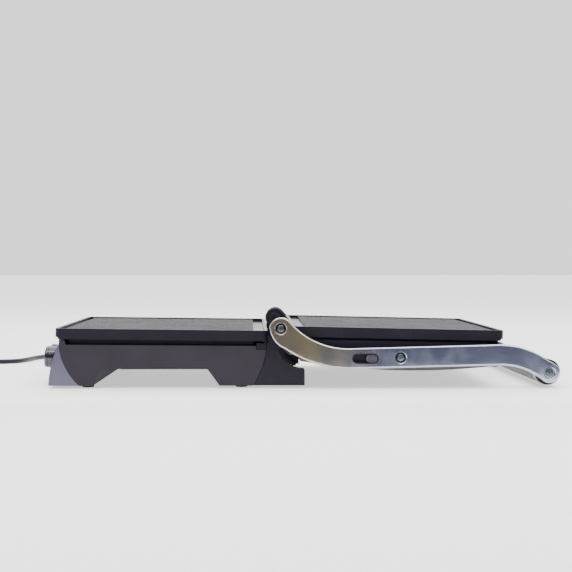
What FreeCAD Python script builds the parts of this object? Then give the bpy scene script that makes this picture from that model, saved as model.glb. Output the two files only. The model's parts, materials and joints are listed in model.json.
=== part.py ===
import FreeCAD, Part
import math
import os

# A contact grill (panini press) opened flat. All sizes are in millimetres.
# X runs from the front of the base to the back, Y from the right side to the left, Z up from the table.
# Outlines are drawn from the hinge axis (X = 0 there); save() moves them so that X = 0 is the middle.

# cooking plates
plate_width = 320.0
lower_plate_length = 250.5
upper_plate_length = 251.3
plate_height = 12.5
plate_corner = 7.0
rim_width = 4.0
rim_rise = 3.5
slab = 4.0
rib_width = 4.0
rib_height = 2.4
rib_pitch = 8.0
rib_channel = 3.0
drain_strip = 13.0
end_skirt_height = 10.4
end_skirt_depth = 3.5
plate_boss_radius = 5.0
plate_screw_end = 55.0
plate_screw_side = 61.0
plate_screw_radius = 1.8

# hinge axis, and how each plate lies beside it
hinge_height = 71.0
lower_plate_offset = 15.2
lower_plate_drop = 3.0
lower_plate_slope = 0.71
upper_plate_offset = 14.4
upper_plate_rise = 2.3
upper_plate_slope = 1.25

# heating stack under each plate
element_radius = 3.25
element_margin = 34.0
element_bend = 18.0
element_tail = 14.0
fuse_place = 113.0
shield_sheet = 0.8
shield_depth = 20.0
shield_rim = 6.0
shield_gap = 1.0
frame_inset = 5.5
lower_frame_start = 15.0
lower_frame_end = 14.0
upper_frame_start = 11.9
upper_frame_end = 5.5
frame_wall = 4.0
frame_ledge = 14.0
frame_ledge_sheet = 2.0

# base housing
shell_inset = 1.0
shell_wall = 3.0
front_setback = 4.58
lip_gap = 0.45
lip_depth = 6.5
shell_top_front = 51.7
shell_top_rear = 49.8
shell_floor = 22.5
shelf_height = 40.0
shelf_thickness = 3.0
shelf_width = 10.0
leg_depth = 42.0
leg_ground = 2.9
front_foot_start = 23.7
front_foot_end = 39.5
front_leg_top = 69.0
rear_foot_start = 32.6
rear_foot_end = 72.1
rear_leg_top = 86.3
shell_rear = 29.0
pad_radius = 7.2
front_pad_place = 31.8
rear_pad_place = 46.2
cover_sheet = 2.0
cover_recess = 2.4
bottom_screw_radius = 1.5
screw_clearance = 0.3

# front fascia and its knobs
fascia_wall = 2.5
fascia_step = 1.1
fascia_bulge = 9.1
fascia_foot = 12.4
fascia_middle_height = 27.5
fascia_bottom_height = 5.0
knob_height = 31.7
knob_radius = 13.3
knob_reach = 18.2
knob_gap = 0.6
knob_edge = 1.6
knob_tilt = 4.0
knob_first_y = -92.0
knob_spacing = 43.0
knob_recess_gap = 1.0
knob_recess_wall = 2.5
lamp_radius = 2.6
lamp_offset = 8.0
spindle_radius = 3.0
running_gap = 0.05

# half the width of a cross slot in any screw
slot_half = 0.6

# hinge towers
tower_width = 32.0
tower_rear = 28.7
rear_gap = 2.4
knuckle_radius = 12.0
knuckle_base = 45.5
knuckle_step = 3.0
hinge_pin_radius = 5.0

# carrying arms
side_gap = 1.5
arm_thickness = 12.5
eye_radius = 13.4
eye_thickness = 6.0
eye_relief_radius = 27.5
arm_edge = 2.6
pocket_depth = 3.3
arm_tail_radius = 12.3
pocket_radius = 6.4
pocket_flare = 1.0
washer_gap = 0.5
washer_sheet = 0.7
screw_head_radius = 4.6
screw_head_height = 2.0
pivot_screw_radius = 2.0
pivot_screw_reach = 14.0

# release button boss on the right knuckle
button_x = -7.0
button_rise = 12.7
button_boss_radius = 11.2
button_radius = 8.1
button_thickness = 2.6
button_gap = 0.2
spring_wire = 0.7
spring_radius = 5.5

# floating lid
lid_inset = 1.5
lid_wall = 2.5
lid_start = 23.0
lid_end_margin = 0.06
lid_top_drop = 15.2
lid_seam = 41.0
lid_shelf_sheet = 3.0
cover_low = 20.3
cover_low_shift = 16.85
cover_rise = 11.51
cover_turn_depth = 15.7
lid_pivot_x = 140.9
lid_pivot_z = 36.6
lid_pin_radius = 4.0
lid_eye_half = 16.0
lid_eye_depth = 24.0
lid_eye_drop = 10.0
lid_screw_radius = 1.5
cowl_gap = 5.0

# handle
handle_beyond = 51.5
handle_height = 18.5
handle_radius = 15.4
grip_radius = 15.1
collar_length = 15.0
handle_core_radius = 7.0
handle_screw_radius = 3.0
handle_screw_reach = 20.0

# lock slider in the right arm
slot_x = 99.3
slot_z = 35.7
slot_length = 31.0
slot_height = 12.0
slider_length = 13.0
slot_floor = 2.0
insert_floor = 1.5
insert_wall = 1.0

# mains lead
cord_radius = 3.5
coil_radius = 35.0
coil_height = 14.0
tie_thickness = 1.0
exit_x = -45.0
exit_z = 14.6
relief_length = 26.0
relief_drop = 4.0
gland_radius = 6.0
coil_x = -466.0
plug_y = 203.0
plug_distance = 56.0
plug_height = 20.0
plug_length = 38.0
plug_half_width = 18.0

# derived places
half_plate = plate_width / 2
plate_under = hinge_height - lower_plate_drop - plate_height
lower_lean = math.radians(lower_plate_slope)
upper_lean = math.radians(upper_plate_slope)
shell_front = lower_plate_offset + lower_plate_length * math.cos(lower_lean) - front_setback
lid_end = upper_plate_offset + upper_plate_length * math.cos(upper_lean) + lid_end_margin
handle_x = lid_end + handle_beyond
cover_under = shell_floor + cover_recess
cover_top = cover_under + cover_sheet
half_shell = half_plate - shell_inset
half_lid = half_plate - lid_inset
tower_inner = half_shell - tower_width
arm_inner = half_plate + side_gap
arm_outer = arm_inner + arm_thickness
eye_inner = arm_outer - eye_thickness
boss_outer = eye_inner - 0.4
button_face = boss_outer - 0.2
button_bore_floor = half_plate + 1.5
pocket_floor = arm_outer - pocket_depth
pin_end = pocket_floor + 0.2
fascia_top = shell_front + fascia_step
fascia_middle = shell_front + fascia_bulge
fascia_bottom = shell_front + fascia_foot
fascia_top_height = shell_top_front - 1.0
knob_share = (knob_height - fascia_middle_height) / (fascia_top_height - fascia_middle_height)
knob_seat = fascia_middle - (fascia_middle - fascia_top) * knob_share * (0.82 + 0.18 * knob_share)
knob_lean = math.radians(knob_tilt)
front_tip = (
    knob_seat + knob_edge + (knob_reach - knob_edge) * math.cos(knob_lean)
    + (knob_radius - knob_edge) * math.sin(knob_lean)
)
rear_tip = handle_x + handle_radius
lid_shelf = lid_seam + lid_shelf_sheet
middle_x = (rear_tip - front_tip) / 2
cover_low_x = (lid_start + lid_end) / 2 + cover_low_shift
cover_radius = ((cover_low_x - lid_start) ** 2 + cover_rise ** 2) / (2 * cover_rise)
plug_x = coil_x - plug_distance
coil_y = plug_y + coil_radius + cord_radius

V = FreeCAD.Vector
ACROSS = V(0, 1, 0)
saved = []


os.makedirs("parts", exist_ok=True)


def save(name, *shapes):
    """Write one node: its solids, moved so that X = 0 is the middle of the opened appliance."""
    solids = [solid for shape in shapes for solid in shape.Solids]
    node = solids[0] if len(solids) == 1 else Part.makeCompound(solids)
    node = node.copy()
    node.translate(V(-middle_x, 0, 0))
    node.exportStep("parts/" + name + ".step")
    saved.append(name)


def block(x0, x1, y0, y1, z0, z1):
    return Part.makeBox(x1 - x0, y1 - y0, z1 - z0, V(x0, y0, z0))


def rod_x(x0, x1, y, z, radius):
    return Part.makeCylinder(radius, x1 - x0, V(x0, y, z), V(1, 0, 0))


def rod_y(x, z, radius, y0, y1):
    return Part.makeCylinder(radius, y1 - y0, V(x, y0, z), ACROSS)


def rod_z(x, y, radius, z0, z1):
    return Part.makeCylinder(radius, z1 - z0, V(x, y, z0), V(0, 0, 1))


def outline(start, *moves):
    """Closed XZ face: each move is a straight end (x, z) or an arc (middle x, middle z, end x, end z)."""
    edges = []
    first = V(start[0], 0, start[1])
    here = first
    for move in moves:
        end = V(move[-2], 0, move[-1])
        if len(move) == 2:
            edges.append(Part.LineSegment(here, end).toShape())
        else:
            edges.append(Part.Arc(here, V(move[0], 0, move[1]), end).toShape())
        here = end
    if (here - first).Length > 1e-6:
        edges.append(Part.LineSegment(here, first).toShape())
    return Part.Face(Part.Wire(edges))


def prism(face, y0, y1):
    moved = face.copy()
    moved.translate(V(0, y0, 0))
    return moved.extrude(V(0, y1 - y0, 0))


def mirrored(shape):
    """The same piece on the left side."""
    return shape.mirror(V(0, 0, 0), ACROSS)


def turned(shape, degrees, x=0.0, z=0.0):
    """Turn about an axis along Y; a positive angle swings the back upwards."""
    copy = shape.copy()
    copy.rotate(V(x, 0, z), V(0, -1, 0), degrees)
    return copy


def rounded(shape, radius, wanted):
    """Round the edges for which wanted(edge) is true."""
    edges = [edge for edge in shape.Edges if wanted(edge)]
    return shape.makeFillet(radius, edges)


def upright(edge):
    """A straight edge along Z."""
    box = edge.BoundBox
    return box.ZLength > 1 and box.XLength < 1e-3 and box.YLength < 1e-3


def plane_y(y):
    """Edges that lie in the plane at this Y."""
    return lambda edge: abs(edge.BoundBox.YMin - y) < 1e-3 and abs(edge.BoundBox.YMax - y) < 1e-3


def plane_z(z):
    """Edges that lie in the level plane at this height."""
    return lambda edge: abs(edge.BoundBox.ZMin - z) < 0.01 and abs(edge.BoundBox.ZMax - z) < 0.01


def row(first, last, pitch):
    """Evenly spaced places between two limits, centred between them."""
    count = max(1, int((last - first) // pitch) + 1)
    start = (first + last - (count - 1) * pitch) / 2
    return [start + number * pitch for number in range(count)]


def cross_screw(x, y, z, shank_radius, length, head_radius, head_height):
    """A cross-head screw along Z, head down at z, shank upwards."""
    screw = rod_z(x, y, shank_radius, z, z + length)
    head = rod_z(x, y, head_radius, z - head_height, z)
    reach = head_radius * 0.6
    low, high = z - head_height, z - head_height / 2
    slot = block(x - reach, x + reach, y - slot_half, y + slot_half, low, high)
    other = block(x - slot_half, x + slot_half, y - reach, y + reach, low, high)
    return screw.fuse(head).cut(slot).cut(other)


def side_screw(x, z, shank_radius, inner_y, head_radius, head_y, head_height):
    """A cross-head screw along Y on the right side, its head facing out."""
    screw = rod_y(x, z, shank_radius, head_y, inner_y)
    head = rod_y(x, z, head_radius, head_y - head_height, head_y)
    reach = head_radius * 0.6
    low, high = head_y - head_height, head_y - head_height / 2
    slot = block(x - reach, x + reach, low, high, z - slot_half, z + slot_half)
    other = block(x - slot_half, x + slot_half, low, high, z - reach, z + reach)
    return screw.fuse(head).cut(slot).cut(other)


# ---- heating stack: drawn with the hinge end at X = 0 and the rim of the plate at Z = 0 ----
def plate_screw_places(length):
    reach_y = half_plate - plate_screw_side
    return [(x, y) for x in (plate_screw_end, length - plate_screw_end) for y in (-reach_y, reach_y)]


def cooking_plate(length):
    """Cast aluminium grill plate: rim, drain strip at the hinge end, ribs along X, hollow underneath."""
    plate = block(0, length, -half_plate, half_plate, -plate_height, 0)
    plate = rounded(plate, plate_corner, upright)
    inside_y = half_plate - rim_width
    well = block(rim_width, length - rim_width, -inside_y, inside_y, -rim_rise, 0)
    plate = plate.cut(rounded(well, plate_corner - rim_width, upright))
    under = -rim_rise - slab
    skirt = length - end_skirt_depth
    plate = plate.cut(block(rim_width, skirt - 1.5, -inside_y, inside_y, -plate_height, under))
    plate = plate.cut(block(skirt, length, -half_plate, half_plate, -plate_height, -end_skirt_height))
    channel = rim_width + rib_channel
    start, end = rim_width + drain_strip, length - channel - rib_channel
    half_rib = rib_width / 2
    ribs = []
    for y in row(-half_plate + channel + rib_width, half_plate - channel - rib_width, rib_pitch):
        ribs.append(block(start, end, y - half_rib, y + half_rib, -rim_rise, rib_height - rim_rise))
    plate = plate.fuse(ribs)
    boss_foot = shield_sheet - shield_depth
    for x, y in plate_screw_places(length):
        plate = plate.fuse(rod_z(x, y, plate_boss_radius, boss_foot, under))
        plate = plate.cut(rod_z(x, y, plate_screw_radius, boss_foot, under + 1))
    return plate.removeSplitter()


def heating_element(length):
    """Tubular element bent into a square loop under the plate, with its two cold ends turned down."""
    r = element_radius
    z = -rim_rise - slab - r
    x0, x1 = element_margin, length - element_margin
    y1 = half_plate - element_margin
    bend, tail = element_bend, element_tail
    square = [(x0, -tail), (x0, -y1), (x1, -y1), (x1, y1), (x0, y1), (x0, tail)]
    corners = [V(x, y, z) for x, y in square]
    edges = []
    here = corners[0]
    for before, corner, after in zip(corners, corners[1:], corners[2:]):
        into = (corner - before).normalize()
        out = (after - corner).normalize()
        start = corner - into * bend
        end = corner + out * bend
        middle = corner + (out - into) * bend * (1 - math.sqrt(0.5))
        edges.append(Part.LineSegment(here, start).toShape())
        edges.append(Part.Arc(start, middle, end).toShape())
        here = end
    edges.append(Part.LineSegment(here, corners[-1]).toShape())
    ring = Part.Wire([Part.Circle(corners[0], V(0, -1, 0), r).toShape()])
    return Part.Wire(edges).makePipeShell([ring], True, True)


def heat_shield(length, hinge_inset, far_inset):
    """Pressed steel tray that throws the heat back up; it rests on the frame's ledge."""
    inset = frame_wall + shield_gap
    x0, x1 = hinge_inset + inset, length - far_inset - inset
    y1 = half_plate - frame_inset - inset
    low, high, sheet = -shield_depth, -shield_depth + shield_rim, shield_sheet
    tray = rounded(block(x0, x1, -y1, y1, low, high), 6, upright)
    tray = tray.cut(block(x0 + sheet, x1 - sheet, -y1 + sheet, y1 - sheet, low + sheet, high))
    for x, y in plate_screw_places(length):
        tray = tray.cut(rod_z(x, y, plate_screw_radius + screw_clearance, low, low + sheet))
    return tray


def stack_frame(length, hinge_inset, far_inset):
    """Dark heat-resistant frame between plate and housing, seen as a shadow gap. It is drawn too deep,
    and stack() cuts it level on the housing's shelf."""
    x0, x1 = hinge_inset, length - far_inset
    y1 = half_plate - frame_inset
    bottom = -shield_depth - 25
    frame = block(x0, x1, -y1, y1, bottom, -plate_height)
    frame = rounded(frame, 4, upright)
    inner = block(x0 + frame_wall, x1 - frame_wall, -y1 + frame_wall, y1 - frame_wall, bottom, -plate_height)
    low = -shield_depth - frame_ledge_sheet
    ledge = block(x0 + 1, x1 - 1, -y1 + 1, y1 - 1, low, -shield_depth)
    reach = frame_ledge
    ledge = ledge.cut(block(x0 + reach, x1 - reach, -y1 + reach, y1 - reach, low, -shield_depth))
    return frame.cut(inner).fuse(ledge).removeSplitter()


def stack_screws(length):
    """Screws through the heat shield into the plate's bosses."""
    places = plate_screw_places(length)
    return [cross_screw(x, y, -shield_depth, plate_screw_radius, 9, 4, 2.2) for x, y in places]


def thermal_fuse():
    """Thermal cut-out clamped to the heat shield."""
    z = -shield_depth + shield_sheet
    return block(fuse_place, fuse_place + 24, -9, 9, z, z + 6)


def place_lower(shape):
    """Put a stack piece of the base in place: hinge end at the back, front end a little higher."""
    flipped = shape.mirror(V(0, 0, 0), V(1, 0, 0))
    flipped.translate(V(-lower_plate_offset, 0, hinge_height - lower_plate_drop))
    return turned(flipped, -lower_plate_slope, -lower_plate_offset, hinge_height - lower_plate_drop)


def place_upper(shape):
    """Put a stack piece of the lid in place: hinge end at the front, far end a little lower."""
    moved = shape.copy()
    moved.translate(V(upper_plate_offset, 0, hinge_height + upper_plate_rise))
    return turned(moved, -upper_plate_slope, upper_plate_offset, hinge_height + upper_plate_rise)


def level_above(z):
    return block(-600, 600, -400, 400, z, 300)


# ---- base housing ----
def behind_front(distance):
    """X of a place measured backwards from the front wall of the housing."""
    return distance - shell_front


def lower_plate_underside(x):
    """Height of the underside of the lower plate's edge."""
    rim = hinge_height - lower_plate_drop - (x + lower_plate_offset) * math.tan(lower_lean)
    return rim - plate_height / math.cos(lower_lean)


def shell_face():
    """Side outline of the housing with its front and back legs, and the lip under the plate's front."""
    front = behind_front(0)
    lip_top = lower_plate_underside(front) - lip_gap
    return outline(
        (-shell_rear, shell_top_rear),
        (-shell_rear, knuckle_base),
        (-16.7, knuckle_base),
        (-21.5, 25.7, -rear_foot_start, leg_ground),
        (-rear_foot_end, leg_ground),
        (-rear_leg_top, shell_floor),
        (behind_front(front_leg_top), shell_floor),
        (behind_front(front_foot_end), leg_ground),
        (behind_front(front_foot_start), leg_ground),
        (behind_front(8.8), 23.0, front, shell_top_front),
        (front, lip_top),
        (front + lip_depth, lip_top),
        (front + lip_depth + 1.5, shell_top_front),
    )


def leg_facet(side):
    """The slanting facet on the inner edge of a front leg, as a wedge to cut away."""
    y = half_shell * side
    heel, top = behind_front(front_foot_end), behind_front(front_leg_top)
    past = top + 4.1
    corners = [
        V(heel, y, leg_ground), V(heel + 11.5, y, shell_floor + 0.5),
        V(top, y - 12 * side, shell_floor), V(past, y, leg_ground),
        V(past, y, shell_floor + 0.5),
    ]
    hull = [(0, 1, 2), (0, 2, 3), (1, 4, 2), (3, 2, 4), (0, 3, 4), (0, 4, 1)]
    faces = [Part.Face(Part.makePolygon([corners[i] for i in (*trio, trio[0])])) for trio in hull]
    return Part.makeSolid(Part.makeShell(faces))


def base_housing():
    """Moulded housing: two cheeks with the legs, a front wall behind the fascia, and an inner shelf."""
    leg_inner = half_shell - leg_depth
    whole = prism(shell_face(), -half_shell, half_shell)
    body = whole.cut(block(-shell_front - 50, 0, -leg_inner, leg_inner, -10, shell_floor))
    inside = half_shell - shell_wall
    wall = behind_front(shell_wall)
    cavity_face = outline(
        (-10, shell_floor), (-10, hinge_height), (wall, hinge_height),
        (wall, shell_top_front), (behind_front(9.6), 35.0, behind_front(16.1), shell_floor),
    )
    body = body.cut(prism(cavity_face, -inside, inside))
    for side in (-1, 1):
        y0, y1 = sorted((side * (leg_inner + shell_wall), side * inside))
        hollow_floor = leg_ground + 4
        body = body.cut(block(behind_front(25.1), behind_front(43.1), y0, y1, hollow_floor, shell_floor))
        x0, x1 = -rear_foot_end - 1.9, -rear_foot_start - 5.4
        body = body.cut(block(x0, x1, y0, y1, hollow_floor, shell_floor))
        body = body.cut(leg_facet(side))
    shelf_under = shelf_height - shelf_thickness
    front, rear, reach = behind_front(7.1), -shell_rear, inside - shelf_width
    shelf = block(front, rear, -inside, inside, shelf_under, shelf_height)
    opening = block(front + shelf_width, rear - shelf_width, -reach, reach, shelf_under, shelf_height)
    body = body.fuse(shelf.cut(opening))
    for x, y in bottom_screw_places():
        post = rod_z(x, y, 5.5, cover_top, shelf_under)
        body = body.fuse(post).cut(rod_z(x, y, bottom_screw_radius, cover_under, cover_under + 11))
    for x, y in pad_places():
        body = body.cut(rod_z(x, y, pad_radius, leg_ground - 1, leg_ground + 1))
    half = knob_radius + 4.7
    low, high = knob_height - knob_radius - 2.4, knob_height + knob_radius + 4.0
    for y in knob_places():
        body = body.cut(block(behind_front(-8.9), behind_front(21.1), y - half, y + half, low, high))
    body = body.cut(rod_y(exit_x, exit_z, gland_radius, inside - 20, half_shell + 1))
    return body.removeSplitter()


def pad_places():
    y = half_shell - leg_depth / 2
    return [(x, side * y) for x in (behind_front(front_pad_place), -rear_pad_place) for side in (-1, 1)]


def bottom_screw_places():
    y = half_shell - shell_wall - 6.0
    first, last = behind_front(front_leg_top) + 11.1, -rear_leg_top - 10.7
    return [(x, side * y) for x in (first, (first + last) / 2, last) for side in (-1, 1)]


def knob_places():
    return [knob_first_y, knob_first_y + knob_spacing]


def bottom_cover():
    """Sheet that closes the housing from below, with cooling slots and holes for its screws."""
    inside = half_shell - shell_wall - 0.5
    sheet = block(behind_front(17.6), -shell_rear - 0.5, -inside, inside, cover_under, cover_top)
    for x in row(behind_front(front_leg_top) + 2, -rear_leg_top - 4, 9.0):
        for y in (-60.0, 60.0):
            sheet = sheet.cut(block(x - 1.5, x + 1.5, y - 26, y + 26, cover_under, cover_top))
    for x, y in bottom_screw_places():
        sheet = sheet.cut(rod_z(x, y, bottom_screw_radius + screw_clearance, cover_under, cover_top))
    return sheet


def bottom_screws():
    radius = bottom_screw_radius
    return [cross_screw(x, y, cover_under, radius, 11, 3.4, 2.0) for x, y in bottom_screw_places()]


def rubber_pads():
    return [rod_z(x, y, pad_radius, 0, leg_ground + 1) for x, y in pad_places()]


def fascia_face(shift=0.0, back=0.0):
    """Side outline of the front fascia; back pushes its rear edge through the housing line."""
    return outline(
        (behind_front(back - 0.3), fascia_top_height),
        (-fascia_top + shift, fascia_top_height),
        (-fascia_middle + shift, fascia_middle_height, -fascia_bottom + shift, fascia_bottom_height),
        (-fascia_bottom + shift, leg_ground + 0.4),
        (behind_front(front_foot_start - 0.5 + back), leg_ground + 0.4),
        (behind_front(8.3 + back), 23.0, behind_front(back - 0.3), fascia_top_height),
    )


def front_fascia():
    """Satin front panel: a curved front with returns to the housing, open at the back."""
    solid = prism(fascia_face(), -half_shell, half_shell)
    hollow = prism(fascia_face(fascia_wall, 14.0), -half_shell + fascia_wall, half_shell - fascia_wall)
    panel = solid.cut(hollow)
    for y in knob_places():
        recess = knob_radius + knob_recess_gap
        boss = along_knob(y, recess + knob_recess_wall, -fascia_wall - knob_recess_wall, 6)
        panel = panel.fuse(boss.common(solid))
        panel = panel.cut(along_knob(y, recess, 0, 40))
        panel = panel.cut(along_knob(y, spindle_radius + 0.6, -30, 40))
    for y in lamp_places():
        panel = panel.cut(rod_x(-fascia_bottom - 10, -fascia_bottom + 20, y, knob_height, lamp_radius))
    return panel


def lamp_places():
    return [knob_first_y + knob_spacing * 2 + offset for offset in (-lamp_offset, lamp_offset)]


def along_knob(y, radius, start, end):
    """A cylinder on a knob's axis, measured outwards from the panel's face."""
    out = V(-math.cos(knob_lean), 0, math.sin(knob_lean))
    seat = V(-knob_seat, y, knob_height)
    return Part.makeCylinder(radius, end - start, seat + out * start, out)


# ---- controls inside the base ----
def knob(y):
    """Turned metal-look knob with a blind bore for its spindle."""
    body = along_knob(y, knob_radius, knob_gap, knob_reach)
    body = rounded(body, knob_edge, lambda edge: edge.BoundBox.XMax < -(front_tip - knob_reach * 0.5))
    return body.cut(along_knob(y, spindle_radius, knob_gap, knob_reach - 5))


def spindle(y):
    return along_knob(y, spindle_radius, -fascia_wall - 18, knob_reach - 5)


def control_body(y, half_width, depth):
    """Thermostat or timer behind the fascia, bored for a spindle that turns in it."""
    front = behind_front(-4.9)
    low, high = cover_top + 0.3, shelf_height - 0.5
    solid = block(front, front + depth, y - half_width, y + half_width, low, high)
    panel_side = along_knob(y, 60, -fascia_wall - 5.0, 60)
    return solid.cut(panel_side).cut(along_knob(y, spindle_radius + running_gap, -40, 20))


def indicator_lenses():
    x0, x1 = behind_front(-11.9), behind_front(-3.4)
    return [rod_x(x0, x1, y, knob_height, lamp_radius) for y in lamp_places()]


def terminal_block():
    return block(-110, -70, half_shell - 67, half_shell - 45, cover_top, cover_top + 11)


# ---- hinge towers ----
def hinge_tower(side):
    """Dark lower part of a hinge tower, hollowed towards the back for the lid's cowl."""
    y0, y1 = sorted((side * tower_inner, side * half_shell))
    face = outline(
        (-16.3, knuckle_base),
        (-21.1, 25.7, -32.2, leg_ground + 0.2),
        (tower_rear, leg_ground + 0.2),
        (tower_rear, 21.6),
        (8.0, 28.8, -2.0, knuckle_base),
    )
    tongue_y0, tongue_y1 = sorted((side * (tower_inner + 4), side * (half_shell - shell_wall - 0.4)))
    tongue = block(-58, -18, tongue_y0, tongue_y1, cover_top + 0.3, shelf_height - shelf_thickness)
    return prism(face, y0, y1).fuse(tongue).removeSplitter()


def hinge_knuckle(side):
    """Black cap of a tower that carries the hinge pin; the right one also holds the release button."""
    y0, y1 = sorted((side * tower_inner, side * half_shell))
    top = hinge_height + knuckle_radius
    face = outline(
        (-16.3, knuckle_base),
        (-16.3, plate_under - knuckle_step),
        (-13.8, plate_under - 0.3),
        (-knuckle_radius, hinge_height),
        (0.0, top, knuckle_radius, hinge_height),
        (10.4, hinge_height - 6.0, 5.5, hinge_height - 10.7),
        (-2.0, knuckle_base),
    )
    boss_y0, boss_y1 = sorted((side * (half_shell - 1), side * (eye_inner - 0.3)))
    solid = prism(face, y0, y1).fuse(rod_y(0, hinge_height, knuckle_radius - 0.5, boss_y0, boss_y1))
    if side < 0:
        z = hinge_height + button_rise
        solid = solid.fuse(rod_y(button_x, z, button_boss_radius, -boss_outer, -half_plate - 0.5))
        solid = solid.cut(rod_y(button_x, z, button_radius + button_gap, -boss_outer, -button_bore_floor))
    pin_y0, pin_y1 = sorted((side * (tower_inner + 8), side * arm_outer))
    return solid.cut(rod_y(0, hinge_height, hinge_pin_radius, pin_y0, pin_y1)).removeSplitter()


def pivot_pin(x, z, radius, inner_y):
    """Right-hand pin from inside out to just past the floor of the arm's pocket, bored for its screw."""
    pin = rod_y(x, z, radius, -pin_end, -inner_y)
    return pin.cut(rod_y(x, z, pivot_screw_radius, -pin_end, -pocket_floor + pivot_screw_reach))


def pivot_washer(x, z):
    washer = rod_y(x, z, pocket_radius - washer_gap, -pin_end - washer_sheet, -pin_end)
    return washer.cut(rod_y(x, z, pivot_screw_radius, -pin_end - washer_sheet, -pin_end))


def pivot_screw(x, z):
    inner, head = -pocket_floor + pivot_screw_reach, -pin_end - washer_sheet
    return side_screw(x, z, pivot_screw_radius, inner, screw_head_radius, head, screw_head_height)


def release_button():
    z = hinge_height + button_rise
    button = rod_y(button_x, z, button_radius, -button_face, -button_face + button_thickness)
    return button.cut(rod_y(button_x, z, 3.5, -button_face, -button_face + 0.5))


def button_spring():
    """Short flat-wire coil spring between the button and the bottom of its bore."""
    low = button_thickness - button_face
    height = -button_bore_floor - low - spring_wire
    helix = Part.makeHelix(height / 2, height, spring_radius)
    inner, outer, half = spring_radius - 0.4, spring_radius + 0.4, spring_wire / 2
    section = Part.makePolygon(
        [V(inner, 0, -half), V(outer, 0, -half), V(outer, 0, half), V(inner, 0, half), V(inner, 0, -half)]
    )
    coil = Part.Wire(helix).makePipeShell([section], True, True)
    coil.rotate(V(0, 0, 0), V(1, 0, 0), -90)
    coil.translate(V(button_x, low + half, hinge_height + button_rise))
    return coil


def rear_panel():
    """Black piece that closes the back of the base between the towers, under the hinge."""
    top = plate_under - rear_gap
    front, back = -shell_rear + 0.5, -17.0
    face = outline(
        (front, shell_floor), (-23.4, shell_floor), (-20.5, 30.0, back, knuckle_base),
        (back, top), (front, top),
    )
    middle = prism(face, -tower_inner + 0.5, tower_inner - 0.5)
    bar = block(front, back, -half_shell + 0.5, half_shell - 0.5, knuckle_base + 0.2, top)
    reach = tower_inner - 37
    slots = [block(-shell_rear, back, y - 10, y + 10, 31, 34) for y in row(-reach, reach, 30)]
    return middle.fuse(bar).cut(slots[0].multiFuse(slots[1:])).removeSplitter()


# ---- carrying arms ----
def arm_face():
    """Outline of a cast arm: eye, swan neck, long beam, and the drooping tail that holds the handle."""
    top = hinge_height + eye_radius
    tail_x, tail_z, tail_r = handle_x, handle_height, arm_tail_radius
    return outline(
        (0.0, top),
        (5.2, hinge_height + 12.35, 9.6, hinge_height + 9.35),
        (43.0, 55.5, 81.4, 48.0),
        (tail_x - 61.2, 52.2),
        (tail_x - 29.7, 47.6, tail_x - 6.0, 36.0),
        (tail_x + 6.3, tail_z + 10.56),
        (tail_x + tail_r, tail_z, tail_x, tail_z - tail_r),
        (tail_x - 5.2, tail_z - 11.15, tail_x - 9.0, tail_z - 8.4),
        (tail_x - 27.7, 21.2, tail_x - 57.2, 27.1),
        (81.4, 23.0),
        (40.0, 29.6, 4.2, 46.9),
        (-8.3, 57.0, -eye_radius, hinge_height),
        (-9.48, hinge_height + 9.48, 0.0, top),
    )


def pocket(x, z, radius, bore):
    """Screw pocket in the outer face of the right arm, with a flared rim and a bore behind it."""
    rim = Part.makeCone(radius + pocket_flare, radius, pocket_flare, V(x, -arm_outer, z), ACROSS)
    hole = rod_y(x, z, radius, -arm_outer, -pocket_floor)
    return rim.fuse(hole).fuse(rod_y(x, z, bore, -arm_outer, -arm_inner + 1))


def right_arm_blank():
    arm = prism(arm_face(), -arm_outer, -arm_inner)
    arm = rounded(arm, arm_edge, plane_y(-arm_outer))
    arm = arm.cut(rod_y(0, hinge_height, eye_relief_radius, -eye_inner, -arm_inner + 1))
    arm = arm.cut(pocket(0, hinge_height, pocket_radius, hinge_pin_radius + running_gap))
    arm = arm.cut(pocket(lid_pivot_x, lid_pivot_z, pocket_radius, lid_pin_radius + running_gap))
    return arm.cut(pocket(handle_x, handle_height, pocket_radius, handle_screw_radius + 0.2))


def long_round(x0, x1, z, half_height, y0, y1):
    """A block along X with full-round ends."""
    bar = block(x0 + half_height, x1 - half_height, y0, y1, z - half_height, z + half_height)
    ends = [rod_y(x, z, half_height, y0, y1) for x in (x0 + half_height, x1 - half_height)]
    return bar.fuse(ends).removeSplitter()


def slot_block(grow, y0, y1):
    """The arm's slot as a solid with round ends; grow enlarges it all round."""
    half_length = slot_length / 2 + grow
    return long_round(slot_x - half_length, slot_x + half_length, slot_z, slot_height / 2 + grow, y0, y1)


def slot_insert():
    """Black liner of the slot: a floor and a thin wall, open to the outside."""
    mouth = -arm_outer + 1.0
    liner = slot_block(-0.1, mouth, -arm_inner - slot_floor)
    return liner.cut(slot_block(-0.1 - insert_wall, mouth, -arm_inner - slot_floor - insert_floor))


def lock_slider():
    """Ridged thumb piece that slides along the slot."""
    x1 = slot_x + slot_length / 2 - insert_wall - 0.7
    half = slot_height / 2 - insert_wall - 0.5
    foot = -arm_inner - slot_floor - insert_floor - 0.3
    thumb = long_round(x1 - slider_length, x1, slot_z, half, -arm_outer + 0.3, foot)
    low, high = slot_z - half, slot_z + half
    for x in row(x1 - slider_length + 3, x1 - 3, 2.0):
        thumb = thumb.cut(block(x - 0.5, x + 0.5, -arm_outer, -arm_outer + 1.1, low, high))
    return thumb


# ---- handle ----
def handle_grip():
    end = arm_inner - collar_length
    grip = rod_y(handle_x, handle_height, grip_radius, -end, end)
    return grip.cut(rod_y(handle_x, handle_height, handle_core_radius, -end, end))


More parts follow.
